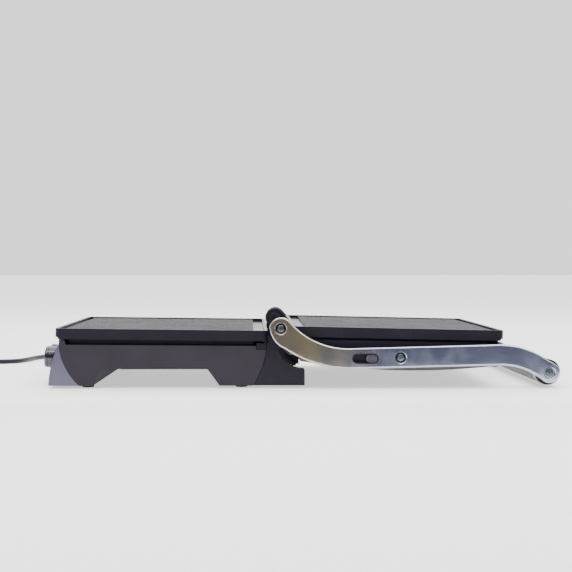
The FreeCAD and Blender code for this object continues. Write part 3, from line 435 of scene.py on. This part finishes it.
# ---- Heating elements, heat shields, screws and cut-outs under the plates ----
# Steel-tubed elements gone straw and blue with heat, bright pressed trays, zinc-plated screws and pale
# ceramic cut-outs; all are screwed to the underside of the plates and out of sight in use.
element_steel = metal("heat_stained_steel", "6d6058", 0.38, tint="4a4d5c", depth=0.05)
shield_steel = metal("bright_pressed_sheet", "a9abae", 0.30, brush=(0.05, 1.0, 1.0), vary=0.05)
zinc = metal("zinc_plate_passivated", "6b7476", 0.30, tint="5f6f69", brush_mm=0.35)
ceramic = moulded("pale_steatite", "c9c0ae", 0.5, grain_mm=1.6, grain=0.2)
frame_plastic = moulded("black_heat_resistant_frame", "101013", 0.6, grain_mm=1.6, grain=0.25)
for half in ("lower_", "upper_"):
    coat_node(half + "heating_element", element_steel)
    coat_node(half + "heat_shield", shield_steel)
    coat_node(half + "plate_screws", zinc)
    coat_node(half + "thermal_fuse", ceramic)
    coat_node(half + "plate_frame", frame_plastic)

# ---- Base housing, bottom cover and feet ----
# Injection-moulded heat-resistant polyester in warm dark grey; its fine eroded grain gives a soft,
# half-matt sheen. The legs are moulded in one with it. A coated steel sheet closes it from below, and
# dull rubber pads are pressed in.
new_piece(
    "housing_shell", softened("base_housing", 0.0012),
    moulded("warm_grey_moulding", "2f2b31", 0.46, grain_mm=1.3, grain=0.16, dust=0.06),
    "base", "shell_grey", "base_housing",
)
coat_node("base_bottom_cover", moulded("coated_bottom_sheet", "2a2a2d", 0.5, grain_mm=2.0, grain=0.15))
coat_node("base_bottom_screws", zinc)
new_piece(
    "feet", softened("rubber_pads", 0.0006),
    moulded("black_foot_rubber", "161617", 0.7, grain_mm=1.0, grain=0.2),
    "base", "rubber", "rubber_pads",
)

# ---- Front fascia and lamps ----
# Die-cast front panel in satin lilac-grey lacquer, whose metal flake keeps the highlights broad and
# soft; the two lamp lenses are glossy red-amber snap-ins.
fascia_lacquer = metal(
    "lilac_grey_metallic_lacquer", "67657a", 0.34, brush_mm=0.5, depth=0.03, vary=0.06, tint="5c5a6c",
    metallic=0.4,
)
new_piece("fascia", softened("front_fascia", 0.0010), fascia_lacquer, "base", "fascia_grey", "front_fascia")
coat_node("indicator_lenses", moulded("amber_lamp_lens", "8e2a12", 0.12, grain=0.0))

# ---- Controls behind the fascia ----
# Brown phenolic bodies of the thermostat and the timer, right behind the panel, each turned by a steel
# spindle through it; inside the base, a pale ceramic terminal block joins the lead to the wires.
phenolic = moulded("brown_phenolic", "4c3120", 0.45, grain_mm=1.0)
coat_node("thermostat", phenolic)
coat_node("timer_switch", phenolic)
coat_node("terminal_block", ceramic)
turned_steel = metal("turned_steel", "b4b5b8", 0.25, brush=(1.0, 0.08, 1.0), brush_mm=0.4)
coat_node("temperature_spindle", turned_steel)
coat_node("timer_spindle", turned_steel)

# ---- Knobs ----
# Moulded ABS plated with smoky satin chrome, which mirrors the room darkly: a skirt and a grip band
# parted by fine grooves, and a flat face with a raised pointer. Each pushes on to its spindle.
knob_chrome = metal("satin_chrome_plating", "53515b", 0.17, brush_mm=0.3, depth=0.02, vary=0.05)
knob_tilt = math.radians(4.0)
knob_out = Vector((-math.cos(knob_tilt), 0.0, math.sin(knob_tilt)))
knob_up = Vector((math.sin(knob_tilt), 0.0, math.cos(knob_tilt)))
knob_skirt = [
    (0.0006, 0.0), (0.0006, 0.0126), (0.0010, 0.0131), (0.0018, 0.0133), (0.0034, 0.0133), (0.0038, 0.0130),
    (0.0042, 0.0127), (0.0046, 0.0130),
]
knob_grip = [(0.0050, 0.0132), (0.0132, 0.0131), (0.0136, 0.0128), (0.0140, 0.0128)]
knob_face = [
    (0.0144, 0.0131), (0.0164, 0.0130), (0.0174, 0.0126), (0.0180, 0.0118), (0.0182, 0.0112),
    (0.0180, 0.0107), (0.0177, 0.0102), (0.0177, 0.0),
]
pointer_foot, pointer_rise, pointer_off_centre = 0.0175, 0.0006, 0.0062
pointer_long, pointer_wide = 0.0066, 0.0016
for name, joint in (("temperature_knob", "temperature_turn"), ("timer_knob", "timer_turn")):
    hub = Vector(joints[joint]["pos_m"])
    work = bmesh.new()
    turned(work, knob_skirt + knob_grip + knob_face, hub, knob_out, 96)
    for vertex in bmesh.ops.create_cube(work, size=1.0)["verts"]:
        x, y, z = vertex.co
        out = pointer_foot + pointer_rise * (x + 0.5)
        vertex.co = hub + knob_out * out + knob_up * (pointer_off_centre + z * pointer_long)
        vertex.co.y += y * pointer_wide
    new_piece(name + "_plated", to_mesh(work, name + "_plated"), knob_chrome, name, "knob_chrome", name)

# ---- Hinge towers, knuckles and rear panel ----
# Glass-filled nylon, near black; the fibres leave it a little shinier than the housing. The towers clip
# to the back of the housing, and each is capped by a knuckle that holds the hinge pin; the panel
# between them closes the back of the base.
tower_plastic = moulded("near_black_glass_nylon", "1e1c22", 0.40, grain_mm=1.3, grain=0.16, dust=0.05)
knuckle_plastic = moulded("black_glass_nylon", "1a1a20", 0.40, grain_mm=1.1, grain=0.10, dust=0.05)
for side in ("right", "left"):
    new_piece(
        "tower_" + side, softened("hinge_tower_" + side, 0.0010), tower_plastic, "base", "tower_dark",
        "hinge_tower_" + side,
    )
    new_piece(
        "knuckle_" + side, softened("hinge_knuckle_" + side, 0.0007), knuckle_plastic, "base",
        "black_plastic", "hinge_knuckle_" + side,
    )
new_piece(
    "rear_closure", softened("rear_panel", 0.0006), knuckle_plastic, "base", "black_plastic", "rear_panel"
)

# ---- Release button and its spring ----
# Black moulded button with a dished face, sprung outwards in a round boss on the right knuckle. The
# spring is two turns of flat bright wire that close up against the bottom of the bore.
low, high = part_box("release_button")
button_middle = ((low[0] + high[0]) / 2, high[1], (low[2] + high[2]) / 2)
button_radius, button_depth = (high[0] - low[0]) / 2, high[1] - low[1]
# From the back: the skirt, the rounded rim and the dish.
button_profile = [
    (0.0, 0.0), (0.0, button_radius), (button_depth - 0.0008, button_radius),
    (button_depth - 0.0002, button_radius - 0.0004), (button_depth, button_radius - 0.0010),
    (button_depth, button_radius - 0.0024), (button_depth - 0.0003, button_radius - 0.0028),
    (button_depth - 0.0007, button_radius - 0.0036), (button_depth - 0.0008, 0.0),
]
work = bmesh.new()
turned(work, button_profile, button_middle, (0, -1, 0), 72)
new_piece(
    "release_cap", to_mesh(work, "release_cap"), knuckle_plastic, "release_button", "black_plastic",
    "release_button",
)
low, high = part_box("release_button_spring")
spring_x, spring_z = (low[0] + high[0]) / 2, (low[2] + high[2]) / 2
spring_length = high[1] - low[1]
wire_thick, wire_wide = 0.0007, 0.0008
spring_turns, spring_steps = 2, 96
outer_edge = (high[0] - low[0]) / 2
inner_edge = outer_edge - wire_wide
section = [
    (inner_edge, -wire_thick / 2), (outer_edge, -wire_thick / 2),
    (outer_edge, wire_thick / 2), (inner_edge, wire_thick / 2),
]
work = bmesh.new()
coils = []
for step in range(spring_steps + 1):
    angle = 2 * math.pi * spring_turns * step / spring_steps
    middle = low[1] + wire_thick / 2 + (spring_length - wire_thick) * step / spring_steps
    coils.append([
        work.verts.new((spring_x + r * math.cos(angle), middle + y, spring_z + r * math.sin(angle)))
        for r, y in section
    ])
for first, second in zip(coils, coils[1:]):
    for number in range(len(section)):
        after = (number + 1) % len(section)
        work.faces.new([first[number], first[after], second[after], second[number]])
work.faces.new(coils[0])
work.faces.new(coils[-1])
button_spring = new_piece(
    "button_spring", to_mesh(work, "button_spring"), metal("drawn_spring_wire", "8f9094", 0.3, brush_mm=0.3),
    "base", "spring_steel", "release_button_spring",
)
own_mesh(button_spring)

# ---- Carrying arms ----
# Gravity-cast aluminium arms, ground flat on the face, brushed along their length and polished, with a
# bright rolled edge. Towards the hinge, a warm tint in patches is a painted reflection of warm things
# nearby. The right arm has a slot for the lock slider.
hairline_mm, smear_mm = 0.8, 18.0
warm_reflection_from_mm, warm_reflection_full_mm = 125.0, 35.0
arm_metal, tree, shader, mm = bare_material("brushed_lacquered_aluminium", {"Metallic": 1.0})
# Real hairlines are about a tenth of this width; each is drawn fifty times as long as it is wide.
hairlines = add(tree, "ShaderNodeMapping", {"Scale": (0.02, 1.0, 1.0)}, [("Vector", mm)])
brushed = add(
    tree, "ShaderNodeTexNoise", {"Scale": 1 / hairline_mm, "Detail": 4.0},
    [("Vector", hairlines.outputs["Vector"])],
)
smears = add(tree, "ShaderNodeTexNoise", {"Scale": 1 / smear_mm, "Detail": 4.0}, [("Vector", mm)])
split = add(tree, "ShaderNodeSeparateXYZ", links=[("Vector", mm)])
# Painted reflection: towards the hinge the base colour turns warm in patches, standing in for warm
# surroundings mirrored in the face.
behind_hinge = add(
    tree, "ShaderNodeMath", {1: -1000 * hinge_x}, [(0, split.outputs["X"])], operation="ADD"
)
warm_reflection_fade = add(
    tree, "ShaderNodeMapRange", {"From Min": warm_reflection_from_mm, "From Max": warm_reflection_full_mm},
    [("Value", behind_hinge.outputs["Value"])],
)
warm_reflection_patches = add(
    tree, "ShaderNodeMapRange", {"From Min": 0.32, "From Max": 0.62, "To Min": 0.35},
    [("Value", smears.outputs["Fac"])],
)
painted_reflection_mask = add(
    tree, "ShaderNodeMath", links=[(0, warm_reflection_fade.outputs["Result"]), (1, warm_reflection_patches.outputs["Result"])],
    operation="MULTIPLY",
)
cool = add(
    tree, "ShaderNodeMix", {"A": linear("a0a3b4"), "B": linear("bcc0d2")},
    [("Factor", brushed.outputs["Fac"])], data_type="RGBA",
)
tone_with_painted_reflection = add(
    tree, "ShaderNodeMix", {"B": linear("bdb3a2")},
    [("Factor", painted_reflection_mask.outputs["Value"]), ("A", cool.outputs["Result"])], data_type="RGBA",
)
haze = add(
    tree, "ShaderNodeMapRange", {"From Min": 0.35, "From Max": 0.65, "To Min": 0.14, "To Max": 0.24},
    [("Value", smears.outputs["Fac"])],
)
lines = add(
    tree, "ShaderNodeBump", {"Strength": 0.06, "Distance": 0.0003}, [("Height", brushed.outputs["Fac"])]
)
tree.links.new(tone_with_painted_reflection.outputs["Result"], shader.inputs["Base Color"])
tree.links.new(haze.outputs["Result"], shader.inputs["Roughness"])
tree.links.new(lines.outputs["Normal"], shader.inputs["Normal"])
for side in ("right", "left"):
    new_piece(
        "carrying_arm_" + side, softened("arm_" + side, 0.0003), arm_metal, "arms", "arm_silver",
        "arm_" + side,
    )

# ---- Lock slider ----
# A glossy smoky-grey thumb piece in a dark grey moulded liner, which is let into the right arm; it locks
# the floating lid.
coat_node("slot_insert", moulded("dark_grey_slot_liner", "2c2b31", 0.35, grain_mm=0.9, grain=0.06))
new_piece(
    "lock_thumb", softened("lock_slider", 0.0003),
    moulded("smoky_grey_thumb_piece", "4b4a52", 0.28, grain_mm=0.9, grain=0.04, shine=0.5),
    "lock_slider", "black_plastic", "lock_slider",
)

# ---- Hinge pins, pivots and screws ----
# Turned steel pins, held by zinc-plated pan-head screws with a cross recess, in pockets in the arms;
# under the heads lie blackened washers. Screws along the hinge stay with the base, the others with
# the lid and the handle.
for node in ("hinge_pins", "lid_pivot_pins", "handle_core"):
    coat_node(node, turned_steel)
black_steel = metal("blackened_washer_steel", "2c2d30", 0.35, brush_mm=0.4)
for node in ("hinge_washers", "lid_pivot_washers"):
    coat_node(node, black_steel)
coat_node("lid_screws", zinc)
coat_node("lid_pivot_spacers", knuckle_plastic)

# The pan head is made once, with a radius of 1; the wings of its cross recess narrow to the bottom.
head_rise = 0.54
wing_long, wing_wide, wing_deep, recess_middle, recess_taper = 1.16, 0.24, 0.6, 0.42, 0.62
pan_head = [
    (0.0, 0.0), (0.0, 1.0), (0.12, 1.02), (0.30, 0.97), (0.42, 0.84), (0.50, 0.62), (0.53, 0.36),
    (head_rise, 0.0),
]
work = bmesh.new()
turned(work, pan_head, (0, 0, 0), (0, 0, 1), 40)
head = bpy.data.objects.new("screw_head", to_mesh(work, "screw_head"))
work = bmesh.new()
for turn in (0.0, math.pi / 2):
    for vertex in bmesh.ops.create_cube(work, size=1.0)["verts"]:
        x, y, z = vertex.co
        taper = recess_taper if z < 0 else 1.0
        along, across = x * wing_long * taper, y * wing_wide * taper
        vertex.co = (
            along * math.cos(turn) - across * math.sin(turn),
            along * math.sin(turn) + across * math.cos(turn),
            recess_middle + z * wing_deep,
        )
cutter = bpy.data.objects.new("cross_recess", to_mesh(work, "cross_recess"))
for tool in (head, cutter):
    bpy.context.scene.collection.objects.link(tool)
recess = head.modifiers.new("recess", "BOOLEAN")
recess.operation = "DIFFERENCE"
recess.solver = "EXACT"
recess.use_self = True
recess.object = cutter
cut_head = bpy.data.meshes.new_from_object(head.evaluated_get(bpy.context.evaluated_depsgraph_get()))
bpy.data.objects.remove(cutter)
head.modifiers.clear()
head.data = cut_head

screw_tree = bpy.data.node_groups.new("screws_on_points", "GeometryNodeTree")
for label, kind in (
    ("Points", "NodeSocketGeometry"), ("Head", "NodeSocketObject"), ("Head radius", "NodeSocketFloat"),
    ("Finish", "NodeSocketMaterial"),
):
    screw_tree.interface.new_socket(label, in_out="INPUT", socket_type=kind)
screw_tree.interface.new_socket("Screws", in_out="OUTPUT", socket_type="NodeSocketGeometry")
given = add(screw_tree, "NodeGroupInput")
shape = add(screw_tree, "GeometryNodeObjectInfo", links=[("Object", given.outputs["Head"])])
turn = add(screw_tree, "GeometryNodeInputNamedAttribute", {"Name": "turn"}, data_type="FLOAT_VECTOR")
placed = add(screw_tree, "GeometryNodeInstanceOnPoints", links=[
    ("Points", given.outputs["Points"]), ("Instance", shape.outputs["Geometry"]),
    ("Rotation", turn.outputs["Attribute"]), ("Scale", given.outputs["Head radius"]),
])
real = add(screw_tree, "GeometryNodeRealizeInstances", links=[("Geometry", placed.outputs["Instances"])])
finish = add(screw_tree, "GeometryNodeSetMaterial", links=[
    ("Geometry", real.outputs["Geometry"]), ("Material", given.outputs["Finish"])
])
add(screw_tree, "NodeGroupOutput", links=[("Screws", finish.outputs["Geometry"])])
sockets = {item.name: item.identifier for item in screw_tree.interface.items_tree if item.in_out == "INPUT"}

# Each pair of heads stands on two points, one on each side, turned as the driver left it.
for name, node, body, spin in (
    ("hinge_screw_heads", "hinge_screws", "base", 0.35),
    ("pivot_screw_heads", "lid_pivot_screws", "lid", 0.9),
    ("handle_screw_heads", "handle_screws", "arms", 0.2),
):
    low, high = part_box(node)
    radius = (high[0] - low[0]) / 2
    centre_x, centre_z = (low[0] + high[0]) / 2, (low[2] + high[2]) / 2
    seat = high[1] - head_rise * radius
    points = bpy.data.meshes.new(name)
    points.from_pydata([(centre_x, -seat, centre_z), (centre_x, seat, centre_z)], [], [])
    set_turns = points.attributes.new("turn", "FLOAT_VECTOR", "POINT")
    set_turns.data[0].vector = (math.pi / 2, spin, 0.0)
    set_turns.data[1].vector = (-math.pi / 2, -spin, 0.0)
    holder = bpy.data.objects.new(name + "_points", points)
    bpy.context.scene.collection.objects.link(holder)
    grow = holder.modifiers.new("grow", "NODES")
    grow.node_group = screw_tree
    grow[sockets["Head"]] = head
    grow[sockets["Head radius"]] = radius
    grow[sockets["Finish"]] = zinc
    made = bpy.data.meshes.new_from_object(holder.evaluated_get(bpy.context.evaluated_depsgraph_get()))
    holder.modifiers.clear()
    bpy.data.objects.remove(holder)
    new_piece(name, made, zinc, body, "screw_zinc", node)
bpy.data.objects.remove(head)

# ---- Handle ----
# A brown-black phenolic grip on a steel core, faintly mottled by its wood-flour filling and rubbed to a
# dull sheen, with a glossier black collar at each end against the arms.
new_piece(
    "grip", softened("handle_grip", 0.0004),
    moulded("brown_black_phenolic_grip", "2a2222", 0.34, grain_mm=2.5, grain=0.03, mottle=0.12, shine=0.07),
    "arms", "grip_brown", "handle_grip",
)
new_piece(
    "collars", softened("handle_collars", 0.0004),
    moulded("black_gloss_collar", "131315", 0.22, grain_mm=1.5, grain=0.03),
    "arms", "collar_black", "handle_collars",
)

# ---- Floating lid ----
# A near-black ring moulded in glass-filled nylon carries the upper plate; an arched pressed cover,
# lacquered warm grey-brown with a smooth satin sheen, closes it and becomes the top of the press when
# it is shut. A curved black cowl bridges the gap at the hinge.
new_piece(
    "lid_ring", softened("lid_housing", 0.0008),
    moulded("blue_black_glass_nylon", "191a26", 0.42, grain_mm=1.3, grain=0.14, dust=0.05),
    "lid", "lid_black", "lid_housing",
)
new_piece(
    "lid_top", softened("lid_cover", 0.0010),
    moulded("warm_grey_brown_lacquer", "5b5357", 0.30, grain_mm=0.7, grain=0.05, mottle=0.06),
    "lid", "lid_brown", "lid_cover",
)
new_piece("hinge_cowl", softened("lid_cowl", 0.0008), knuckle_plastic, "lid", "black_plastic", "lid_cowl")

# ---- Table and light ----
# An opal light table, a broad softbox overhead and two long strip lights that draw the bright lines
# on the rolled edges; a grey card along the front, which only reflections show, gives the metal its tone.
def flat_panel(name, corners, material):
    """One flat four-sided panel that isn't part of the grill."""
    mesh = bpy.data.meshes.new(name)
    mesh.from_pydata(corners, [], [(0, 1, 2, 3)])
    mesh.materials.append(material)
    made = bpy.data.objects.new(name, mesh)
    bpy.context.scene.collection.objects.link(made)
    return made


reach = 12.0
opal = bare_material("opal_light_table", {
    "Base Color": linear("f2f2f2"), "Roughness": 0.6, "Emission Color": linear("ffffff"),
    "Emission Strength": 0.8,
})[0]
flat_panel("table", [(-reach, -reach, 0), (reach, -reach, 0), (reach, reach, 0), (-reach, reach, 0)], opal)

card_reach, card_y, card_top = 1.2, -0.32, 0.16
card_material, tree, shader, mm = bare_material(
    "dim_grey_card", {"Base Color": linear("000000"), "Roughness": 1.0, "Emission Strength": 1.0}
)
split = add(tree, "ShaderNodeSeparateXYZ", links=[("Vector", mm)])
along = add(
    tree, "ShaderNodeMapRange", {"From Min": 20.0, "From Max": 110.0}, [("Value", split.outputs["X"])]
)
card_tone = add(
    tree, "ShaderNodeMix", {"A": linear("8d8778"), "B": linear("747789")},
    [("Factor", along.outputs["Result"])], data_type="RGBA",
)
tree.links.new(card_tone.outputs["Result"], shader.inputs["Emission Color"])
card = flat_panel("grey_card", [
    (-card_reach, card_y, 0), (card_reach, card_y, 0),
    (card_reach, card_y, card_top), (-card_reach, card_y, card_top),
], card_material)
card.visible_camera = False
card.visible_diffuse = False
card.visible_shadow = False
card.visible_transmission = False

# The room is white overhead and behind the grill, and dim on the near side, warmer on the left.
world = bpy.data.worlds.new("studio")
bpy.context.scene.world = world
world.use_nodes = True
tree = world.node_tree
tree.nodes.clear()
direction = add(tree, "ShaderNodeTexCoord")
parts = add(tree, "ShaderNodeSeparateXYZ", links=[("Vector", direction.outputs["Generated"])])
behind = add(
    tree, "ShaderNodeMapRange", {"From Min": -0.30, "From Max": 0.15}, [("Value", parts.outputs["Y"])]
)
above = add(tree, "ShaderNodeMapRange", {"From Min": 0.22, "From Max": 0.60}, [("Value", parts.outputs["Z"])])
bright = add(
    tree, "ShaderNodeMath", links=[(0, behind.outputs["Result"]), (1, above.outputs["Result"])],
    operation="MAXIMUM",
)
across = add(
    tree, "ShaderNodeMapRange", {"From Min": 0.03, "From Max": 0.13}, [("Value", parts.outputs["X"])]
)
room = add(
    tree, "ShaderNodeMix", {"A": linear("6f604f"), "B": linear("5d6170")},
    [("Factor", across.outputs["Result"])], data_type="RGBA",
)
sky = add(
    tree, "ShaderNodeMix", {"B": linear("ffffff")},
    [("Factor", bright.outputs["Value"]), ("A", room.outputs["Result"])], data_type="RGBA",
)
air = add(tree, "ShaderNodeBackground", {"Strength": 1.5}, [("Color", sky.outputs["Result"])])
add(tree, "ShaderNodeOutputWorld", links=[("Surface", air.outputs["Background"])])

for name, place, aim, long, wide, power in (
    ("overhead_softbox", (0.0, 0.5, 2.2), (0.0, 0.0, 0.0), 2.4, 2.4, 40.0),
    ("near_strip_light", (0.1, -0.75, 1.5), (0.0, 0.0, 0.0), 2.6, 0.16, 22.0),
    ("far_strip_light", (0.0, 1.3, 1.2), (0.0, 0.0, 0.0), 2.6, 0.2, 14.0),
):
    lamp = bpy.data.lights.new(name, "AREA")
    lamp.shape = "RECTANGLE"
    lamp.size = long
    lamp.size_y = wide
    lamp.energy = power
    light = bpy.data.objects.new(name, lamp)
    light.location = place
    light.rotation_euler = (Vector(aim) - Vector(place)).to_track_quat("-Z", "Y").to_euler()
    bpy.context.scene.collection.objects.link(light)
